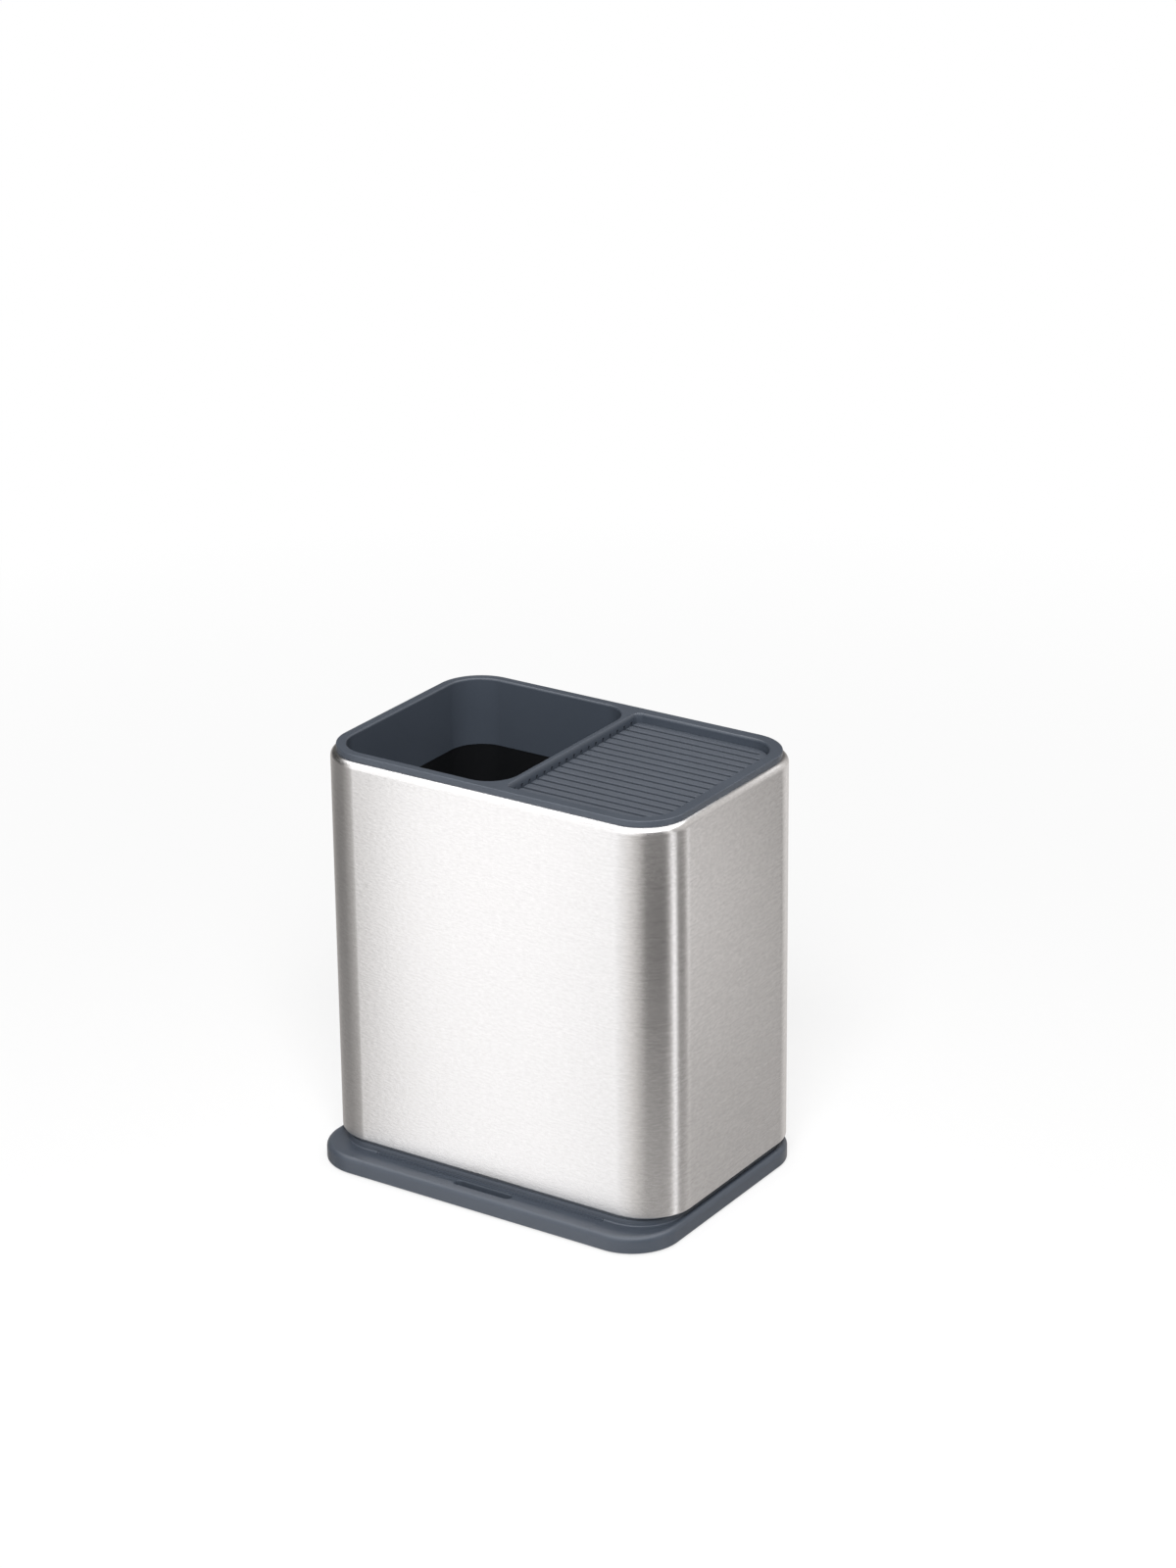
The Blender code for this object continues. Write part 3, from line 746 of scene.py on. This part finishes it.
def make_grid():
    """A panel of round-topped ribs between slots open to the knife chamber."""
    levels = [(grid_outline, grid_low.z)]
    levels += arc_levels(grid_outline, grid_high.z, GRID_EDGE)
    grid = add_piece(
        "rib_panel",
        loft("rib_panel", levels),
        ribbed_plastic,
        "grid",
        ["knife_grid"],
    )
    half = SLOT_WIDTH / 2
    limit = inset(grid_outline, SLOT_END_MARGIN)
    middle_y = (grid_outline.front + grid_outline.back) / 2
    slots = []
    notches = []
    for y in slot_places():
        reach = right_reach(limit, y + math.copysign(half, y - middle_y))
        end_radius = half - FINE_RADIUS
        slot = Outline(
            grid_outline.left + SLOT_START,
            reach,
            y - half,
            y + half,
            end_radius,
            end_radius,
        )
        slots.append(
            mouth_levels(slot, grid_low.z - OVERRUN, grid_high.z, SLOT_ROUND)
        )
        notch = Outline(
            grid_outline.left - OVERRUN,
            grid_outline.left + SLOT_START + 2 * half,
            y - half,
            y + half,
            FINE_RADIUS,
            end_radius,
        )
        notches.append(
            mouth_levels(notch, grid_high.z - NOTCH_STEP, grid_high.z, SLOT_ROUND)
        )
    combine(grid, "slot_cutter", lofts("slot_cutter", slots))
    combine(grid, "slot_notch_cutter", lofts("slot_notch_cutter", notches))
    settle(grid)


def make_collar():
    """The stepped ring between the base and the casing."""
    upper = inset(pedestal_outline, COLLAR_STEP)
    inside = inset(pedestal_outline, COLLAR_BAND)
    low_z = plinth_high.z + JOINT_GAP
    step_z = collar_low.z + COLLAR_LOWER
    top_z = casing_low.z - JOINT_GAP
    levels = [(inside, low_z), (pedestal_outline, low_z)]
    levels += arc_levels(inset(pedestal_outline, COLLAR_DRAFT / 2), step_z, COLLAR_EDGE)
    levels += [(inset(upper, COLLAR_DRAFT / 2), step_z)]
    levels += [(inset(upper, COLLAR_DRAFT * 3 / 2), top_z), (inside, top_z)]
    collar = add_piece(
        "collar_ring",
        loft("collar_ring", levels, closed=True),
        slate_plastic,
        "casing",
        ["base_collar"],
    )
    settle(collar)


def plinth_levels():
    """The base's outside: wall, round shoulder, lip, channel and pedestal."""
    levels = arc_levels(plinth_outline, plinth_low.z, PLINTH_EDGE, rising=False)
    levels += arc_levels(plinth_outline, lip_z, SHOULDER)
    levels.append((inset(channel_outline, -CHANNEL_SLOPE), lip_z))
    levels.append((inset(channel_outline, CHANNEL_SLOPE), channel_z))
    levels += cove_levels(pedestal_outline, channel_z, PEDESTAL_COVE)
    levels += arc_levels(pedestal_outline, plinth_high.z, PEDESTAL_EDGE)
    return levels


def make_plinth():
    """The moulded base, with the bay that the drip tray slides in."""
    plinth = add_piece(
        "plinth_shell",
        loft("plinth_shell", plinth_levels()),
        slate_plastic,
        "casing",
        ["base_plinth"],
    )
    low = plinth_low.z - OVERRUN
    top = plinth_high.z + OVERRUN
    front = plinth_low.y - OVERRUN
    bridge_z = tray_high.z + CLEARANCE
    joint = pedestal_outline.front
    spans = {
        "bay_cutter": (
            (-rail_half, joint - OVERRUN, low),
            (rail_half, bay_back_y, bridge_z),
        ),
        "mouth_cutter": ((-mouth_half, front, low), (mouth_half, joint, top)),
        "rail_cutter": (
            (-bay_half, joint - OVERRUN, rail_z),
            (bay_half, bay_back_y, bridge_z),
        ),
        "well_cutter": (
            (-well_half, well_front_y, tray_high.z),
            (well_half, well_back_y, top),
        ),
    }
    for name, span in spans.items():
        combine(plinth, name, blocks(name, [span]))
    places = [plan_centre(node) for node in foot_nodes]
    pocket_z = plinth_low.z + FOOT_POCKET
    holes = (
        ("foot_pocket_cutter", FOOT_RADIUS + CLEARANCE, pocket_z),
        ("counterbore_cutter", SCREW_HEAD_RADIUS + CLEARANCE, pocket_z + COUNTERBORE),
        ("screw_hole_cutter", SCREW_RADIUS + CLEARANCE, top),
    )
    for name, radius, end in holes:
        combine(plinth, name, discs(name, radius, low, end, places))
    settle(plinth, SEAM_ROUND)


def make_tray():
    """A shallow pan behind a front section that carries on the base's outside."""
    tray = add_piece(
        "tray_pan",
        loft("tray_pan", plinth_levels()),
        slate_plastic,
        "tray",
        ["drip_tray"],
    )
    front = plinth_low.y - OVERRUN
    keep = (
        (-tray_half, front, tray_low.z),
        (tray_half, tray_joint_y, lip_z + OVERRUN),
    )
    combine(tray, "front_former", blocks("front_former", [keep]), "INTERSECT")
    pan_half = rail_half - CLEARANCE
    pan = Outline(
        -pan_half,
        pan_half,
        tray_joint_y - TRAY_WALL,
        bay_back_y - CLEARANCE,
        TRAY_CORNER,
        TRAY_CORNER,
    )
    shape = [(pan, tray_low.z), (pan, tray_high.z)]
    combine(tray, "pan_former", loft("pan_former", shape), "UNION")
    rails = pan._replace(left=-tray_half, right=tray_half)
    shape = [(rails, tray_high.z - TRAY_FLANGE), (rails, tray_high.z)]
    combine(tray, "rails_former", loft("rails_former", shape), "UNION")
    hollow = inset(pan, TRAY_WALL)._replace(front=tray_joint_y + TRAY_WALL)
    shape = arc_levels(hollow, tray_low.z + TRAY_FLOOR, TRAY_WALL, rising=False)
    shape += [(hollow, tray_high.z + OVERRUN)]
    combine(tray, "hollow_cutter", loft("hollow_cutter", shape))
    radius = (NOTCH_BACK - NOTCH_FRONT) / 2 - FINE_RADIUS
    notch = Outline(
        -NOTCH_HALF_LENGTH,
        NOTCH_HALF_LENGTH,
        plinth_low.y + NOTCH_FRONT,
        plinth_low.y + NOTCH_BACK,
        radius,
        radius,
    )
    shape = arc_levels(notch, lip_z - NOTCH_DEPTH, NOTCH_FLOOR_ROUND, rising=False)
    shape += mouth_levels(notch, lip_z - NOTCH_DEPTH / 2, lip_z, NOTCH_ROUND)
    combine(tray, "notch_cutter", loft("notch_cutter", shape))
    settle(tray, SEAM_ROUND)


def make_feet():
    """Round rubber feet with a shallow dish in their underside."""
    for node in foot_nodes:
        low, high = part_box(node)
        profile = [
            (FOOT_RADIUS / 2, low.z + FOOT_DISH),
            (FOOT_RADIUS - 3 * FOOT_EDGE, low.z + FOOT_DISH),
            (FOOT_RADIUS - 2 * FOOT_EDGE, low.z),
        ]
        for angle in quarter_angles():
            profile.append(
                (
                    FOOT_RADIUS - FOOT_EDGE * (1 - math.sin(angle)),
                    low.z + FOOT_EDGE * (1 - math.cos(angle)),
                )
            )
        profile.append((FOOT_RADIUS, high.z))
        name = node.replace("foot_", "foot_pad_")
        foot = add_piece(
            name,
            turned(name, profile, plan_centre(node)),
            foot_rubber,
            "casing",
            [node],
        )
        settle(foot)


# Materials


def add_node(tree, kind, inputs=None, **settings):
    """A shader node with its settings, and its inputs set or linked."""
    node = tree.nodes.new(kind)
    for key, value in settings.items():
        setattr(node, key, value)
    for key, value in (inputs or {}).items():
        if isinstance(value, bpy.types.NodeSocket):
            tree.links.new(value, node.inputs[key])
        else:
            node.inputs[key].default_value = value
    return node


def stretched_noise(tree, noise):
    """A noise drawn out by a different amount along each axis. The axes are turned, so
    that none runs along a wall."""
    place = add_node(tree, "ShaderNodeTexCoord").outputs["Object"]
    mapped = add_node(
        tree,
        "ShaderNodeMapping",
        {"Vector": place, "Rotation": NOISE_TURN, "Scale": noise.stretch},
    ).outputs["Vector"]
    texture = add_node(
        tree,
        "ShaderNodeTexNoise",
        {"Vector": mapped, "Scale": noise.scale, "Detail": noise.detail},
    )
    return texture.outputs["Fac"]


def spread(tree, value, low, high):
    """Maps a noise, which mostly keeps to its middle, to a range."""
    ends = {"From Min": NOISE_LOW, "From Max": NOISE_HIGH, "To Min": low, "To Max": high}
    mapped = add_node(tree, "ShaderNodeMapRange", {"Value": value, **ends})
    return mapped.outputs["Result"]


def mixed(tree, factor, first, second):
    """A value between two."""
    values = {"Factor": factor, "A": first, "B": second}
    return add_node(tree, "ShaderNodeMix", values, data_type="FLOAT").outputs["Result"]


def maths(tree, operation, *values):
    """The result of a sum on one or two values."""
    node = add_node(tree, "ShaderNodeMath", dict(enumerate(values)), operation=operation)
    return node.outputs["Value"]


def blended(tree, factor, first, second):
    """A colour between two."""
    colours = {"Fac": factor, "Color1": (*first, 1), "Color2": (*second, 1)}
    return add_node(tree, "ShaderNodeMixRGB", colours).outputs["Color"]


def finish(name):
    """An empty node material and its shader."""
    material = bpy.data.materials.new(name)
    material.use_nodes = True
    return material, material.node_tree, material.node_tree.nodes["Principled BSDF"]


def make_steel():
    """Steel brushed along the sheet: fine level streaks, with reflections drawn upwards.
    On the sheet's left and right sides the grain's colour swings wider and darker: the
    grain is the steel's own, the wider, darker swing is a painted reflection."""
    material, tree, shader = finish("brushed_steel_finish")
    hairlines = stretched_noise(tree, HAIRLINES)
    flecks = stretched_noise(tree, FLECKS)
    clouds = stretched_noise(tree, STEEL_CLOUDS)
    grain = mixed(tree, FLECK_SHARE, hairlines, flecks)
    normal = add_node(tree, "ShaderNodeTexCoord").outputs["Normal"]
    across = add_node(tree, "ShaderNodeSeparateXYZ", {"Vector": normal}).outputs["X"]
    # Painted reflection: faces turned left or right get the wider, darker side grain
    # colours
    painted_reflection_share = maths(tree, "ABSOLUTE", across)
    colours = [
        blended(tree, spread(tree, grain, 0.0, 1.0), *pair)
        for pair in ((STEEL_DARK, STEEL_LIGHT), (STEEL_SIDE_GRAIN_AND_REFLECTION_DARK, STEEL_SIDE_GRAIN_AND_REFLECTION_LIGHT))
    ]
    colour = add_node(
        tree,
        "ShaderNodeMixRGB",
        {"Fac": painted_reflection_share, "Color1": colours[0], "Color2": colours[1]},
    ).outputs["Color"]
    tree.links.new(colour, shader.inputs["Base Color"])
    shader.inputs["Metallic"].default_value = 1.0
    roughness = maths(
        tree,
        "ADD",
        spread(tree, hairlines, STEEL_SMOOTHEST, STEEL_ROUGHEST),
        spread(tree, clouds, -STEEL_CLOUD_SPREAD, STEEL_CLOUD_SPREAD),
    )
    tree.links.new(roughness, shader.inputs["Roughness"])
    shader.inputs["Anisotropic"].default_value = STEEL_ANISOTROPY
    shader.inputs["Anisotropic Rotation"].default_value = STEEL_ANISOTROPY_TURN
    tangent = add_node(tree, "ShaderNodeTangent", direction_type="RADIAL", axis="Z")
    tree.links.new(tangent.outputs["Tangent"], shader.inputs["Tangent"])
    bump = add_node(
        tree,
        "ShaderNodeBump",
        {"Strength": STEEL_GRAIN_STRENGTH, "Distance": STEEL_GRAIN_HEIGHT, "Height": grain},
    )
    tree.links.new(bump.outputs["Normal"], shader.inputs["Normal"])
    return material


def make_plastic(name, plastic):
    """Moulded plastic: slight mottling, a fine spark-eroded texture and a soft sheen."""
    material, tree, shader = finish(name)
    clouds = stretched_noise(tree, MOULD_CLOUDS)
    grain = stretched_noise(tree, plastic.grain)
    mottle = mixed(tree, MOULD_GRAIN_SHARE, clouds, grain)
    colour = blended(tree, spread(tree, mottle, 0.0, 1.0), plastic.dark, plastic.light)
    tree.links.new(colour, shader.inputs["Base Color"])
    smoothest = plastic.roughness - ROUGHNESS_SPREAD
    roughest = plastic.roughness + ROUGHNESS_SPREAD
    tree.links.new(spread(tree, clouds, smoothest, roughest), shader.inputs["Roughness"])
    bump = add_node(
        tree,
        "ShaderNodeBump",
        {
            "Strength": MOULD_GRAIN_STRENGTH,
            "Distance": plastic.grain_height,
            "Height": grain,
        },
    )
    tree.links.new(bump.outputs["Normal"], shader.inputs["Normal"])
    return material


def make_screw_steel():
    """Plated screw steel with turning marks round its axis."""
    material, tree, shader = finish("screw_steel_finish")
    rings = stretched_noise(tree, SCREW_RINGS)
    colour = blended(tree, spread(tree, rings, 0.0, 1.0), SCREW_DARK, SCREW_LIGHT)
    tree.links.new(colour, shader.inputs["Base Color"])
    shader.inputs["Metallic"].default_value = 1.0
    roughness = spread(tree, rings, SCREW_SMOOTHEST, SCREW_ROUGHEST)
    tree.links.new(roughness, shader.inputs["Roughness"])
    return material


brushed_steel = make_steel()
slate_plastic = make_plastic("slate_plastic_finish", SLATE)
ribbed_plastic = make_plastic("ribbed_plastic_finish", RIBBED)
black_plastic = make_plastic("black_plastic_finish", BLACK)
foot_rubber = make_plastic("foot_rubber_finish", RUBBER)
screw_steel = make_screw_steel()

make_casing()
make_rim()
make_liner("utensil_tub", "utensil_liner", utensil_tub, utensil_low.z)
make_liner("knife_tub", "knife_liner", knife_tub, knife_low.z)
make_grid()
make_collar()
make_plinth()
make_tray()
make_feet()

for node_name, node_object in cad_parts.items():
    if node_name == "inner_floor" or node_name.startswith("screw_"):
        node_object.data.materials.clear()
        node_object.data.materials.append(
            black_plastic if node_name == "inner_floor" else screw_steel
        )


# Stage: surroundings, floor, wall, lamp and camera


def share_of(tree, value, low, high):
    """How far a value is from low to high, as a share."""
    mapped = add_node(
        tree, "ShaderNodeMapRange", {"Value": value, "From Min": low, "From Max": high}
    )
    return mapped.outputs["Result"]


def bearing_share(tree, direction):
    """The bearing of a direction as a share of the full circle."""
    split = add_node(tree, "ShaderNodeSeparateXYZ", {"Vector": direction})
    frontward = maths(tree, "MULTIPLY", split.outputs["Y"], -1.0)
    bearing = maths(tree, "ARCTAN2", split.outputs["X"], frontward)
    return share_of(tree, bearing, -math.pi, math.pi)


def strength_curve(tree, share, column):
    """The strength by bearing in one column of the surroundings."""
    curve = add_node(tree, "ShaderNodeFloatCurve", {"Value": share})
    points = curve.mapping.curves[0].points
    while len(points) < len(SURROUNDINGS):
        points.new(0.5, 0.5)
    for point, row in zip(points, SURROUNDINGS):
        share_of_turn = (math.radians(row[0]) + math.pi) / (2 * math.pi)
        point.location = (share_of_turn, row[column] / STRENGTH_TOP)
        point.handle_type = "VECTOR"
    curve.mapping.update()
    return maths(tree, "MULTIPLY", curve.outputs["Value"], STRENGTH_TOP)


def between(tree, value, low, high, first, second):
    """Moves from one strength to another as a value goes from low to high."""
    return mixed(tree, share_of(tree, value, low, high), first, second)


def warmth(tree, strength):
    """Darker surroundings are a little warmer than bright ones."""
    factor = share_of(tree, strength, WARM_STRENGTH, NEUTRAL_STRENGTH)
    return blended(tree, factor, WARM, NEUTRAL)


def mirrored_ray(tree):
    """One where a ray comes from a shiny or clear surface."""
    rays = add_node(tree, "ShaderNodeLightPath").outputs
    return maths(tree, "MAXIMUM", rays["Is Glossy Ray"], rays["Is Transmission Ray"])


def mixed_shader(tree, factor, first, second):
    """One shader or the other."""
    mix = add_node(tree, "ShaderNodeMixShader", {"Fac": factor})
    tree.links.new(first.outputs[0], mix.inputs[1])
    tree.links.new(second.outputs[0], mix.inputs[2])
    return mix


def stage_finish(name, mesh):
    """The tree and the open output of an empty material, which goes on a mesh."""
    material, tree, shader = finish(name)
    tree.nodes.remove(shader)
    mesh.materials.append(material)
    out = next(n for n in tree.nodes if n.type == "OUTPUT_MATERIAL")
    return tree, out.inputs["Surface"]


def make_world():
    """White to the camera, banded to reflections, and even to everything else."""
    world = bpy.data.worlds.new("studio")
    bpy.context.scene.world = world
    world.use_nodes = True
    tree = world.node_tree
    tree.nodes.clear()
    direction = add_node(tree, "ShaderNodeTexCoord").outputs["Generated"]
    height = add_node(tree, "ShaderNodeSeparateXYZ", {"Vector": direction}).outputs["Z"]
    share = bearing_share(tree, direction)
    low = strength_curve(tree, share, LOW_COLUMN)
    sky = strength_curve(tree, share, SKY_COLUMN)
    level = between(tree, height, SKY_START, SKY_END, low, sky)
    level = between(tree, height, OVERHEAD_START, OVERHEAD_END, level, OVERHEAD_LEVEL)
    plain = add_node(tree, "ShaderNodeBackground", {"Strength": WORLD_LEVEL})
    plain.inputs["Color"].default_value = WHITE
    bands = add_node(
        tree, "ShaderNodeBackground", {"Color": warmth(tree, level), "Strength": level}
    )
    white = add_node(tree, "ShaderNodeBackground", {"Strength": 1.0})
    white.inputs["Color"].default_value = WHITE
    seen = add_node(tree, "ShaderNodeLightPath").outputs["Is Camera Ray"]
    unseen = mixed_shader(tree, mirrored_ray(tree), plain, bands)
    shown = mixed_shader(tree, seen, unseen, white)
    out = add_node(tree, "ShaderNodeOutputWorld")
    tree.links.new(shown.outputs[0], out.inputs["Surface"])


def make_floor():
    """A pale floor that keeps a faint shadow near the object and lets reflections through
    to the wall below."""
    half = FLOOR_HALF
    mesh = bpy.data.meshes.new("floor")
    mesh.from_pydata(
        [(-half, -half, 0), (half, -half, 0), (half, half, 0), (-half, half, 0)],
        [],
        [(0, 1, 2, 3)],
    )
    floor = bpy.data.objects.new("floor", mesh)
    bpy.context.scene.collection.objects.link(floor)
    tree, surface = stage_finish("floor_finish", mesh)
    matt = add_node(tree, "ShaderNodeBsdfDiffuse")
    matt.inputs["Color"].default_value = WHITE
    white = add_node(tree, "ShaderNodeEmission", {"Strength": 1.0})
    clear = add_node(tree, "ShaderNodeBsdfTransparent")
    seen = add_node(tree, "ShaderNodeLightPath").outputs["Is Camera Ray"]
    place = add_node(tree, "ShaderNodeTexCoord").outputs["Object"]
    distance = add_node(
        tree, "ShaderNodeVectorMath", {0: place}, operation="LENGTH"
    ).outputs["Value"]
    share = between(tree, distance, SHADOW_NEAR, SHADOW_FAR, SHADOW_SHARE, 0.0)
    shadowed = mixed_shader(tree, share, white, matt)
    unseen = mixed_shader(tree, mirrored_ray(tree), matt, clear)
    shown = mixed_shader(tree, seen, unseen, shadowed)
    tree.links.new(shown.outputs[0], surface)


def make_wall():
    """A round wall that only reflections see, with light and dark bands down it."""
    shape = bmesh.new()
    bmesh.ops.create_cone(
        shape,
        cap_ends=False,
        segments=WALL_SIDES,
        radius1=WALL_RADIUS,
        radius2=WALL_RADIUS,
        depth=WALL_TOP - WALL_LOW,
        matrix=Matrix.Translation((0, casing_middle_y, (WALL_TOP + WALL_LOW) / 2)),
    )
    wall = bpy.data.objects.new("wall", to_mesh("wall", shape))
    bpy.context.scene.collection.objects.link(wall)
    wall.visible_camera = False
    wall.visible_diffuse = False
    wall.visible_shadow = False
    wall.visible_transmission = False
    tree, surface = stage_finish("wall_finish", wall.data)
    place = add_node(tree, "ShaderNodeNewGeometry").outputs["Position"]
    centred = add_node(
        tree,
        "ShaderNodeVectorMath",
        {0: place, 1: (0, casing_middle_y, 0)},
        operation="SUBTRACT",
    ).outputs["Vector"]
    share = bearing_share(tree, centred)
    height = add_node(tree, "ShaderNodeSeparateXYZ", {"Vector": place}).outputs["Z"]
    high = strength_curve(tree, share, HIGH_COLUMN)
    low = strength_curve(tree, share, LOW_COLUMN)
    level = between(tree, height, BAND_LOW, BAND_HIGH, low, high)
    glow = add_node(
        tree, "ShaderNodeEmission", {"Color": warmth(tree, level), "Strength": level}
    )
    tree.links.new(glow.outputs[0], surface)


def make_lamp(name, place, aim, size, power):
    """A soft square lamp that reflections don't show."""
    light = bpy.data.lights.new(name, "AREA")
    light.shape = "SQUARE"
    light.size = size
    light.energy = power
    lamp = bpy.data.objects.new(name, light)
    lamp.location = place
    direction = Vector(aim) - Vector(place)
    lamp.rotation_euler = direction.to_track_quat("-Z", "Y").to_euler()
    lamp.visible_camera = False
    lamp.visible_glossy = False
    bpy.context.scene.collection.objects.link(lamp)


def make_camera():
    """The photograph's viewpoint."""
    back = Vector(
        (
            math.sin(CAMERA_AZIMUTH) * math.cos(CAMERA_ELEVATION),
            -math.cos(CAMERA_AZIMUTH) * math.cos(CAMERA_ELEVATION),
            math.sin(CAMERA_ELEVATION),
        )
    )
    level = Vector((math.cos(CAMERA_AZIMUTH), math.sin(CAMERA_AZIMUTH), 0))
    upward = back.cross(level)
    right = level * math.cos(CAMERA_ROLL) + upward * math.sin(CAMERA_ROLL)
    top = upward * math.cos(CAMERA_ROLL) - level * math.sin(CAMERA_ROLL)
    data = bpy.data.cameras.new("camera")
    data.sensor_width = SENSOR
    data.sensor_fit = "AUTO"
    data.lens = CAMERA_LENS
    camera = bpy.data.objects.new("camera", data)
    turn = Matrix((right, top, back)).transposed().to_4x4()
    camera.matrix_world = Matrix.Translation(CAMERA_PLACE) @ turn
    bpy.context.scene.collection.objects.link(camera)
    bpy.context.scene.camera = camera


make_world()
make_floor()
make_wall()
make_lamp("key", KEY_PLACE, KEY_AIM, KEY_SIZE, KEY_POWER)
make_camera()
bpy.context.scene.view_settings.view_transform = "Standard"
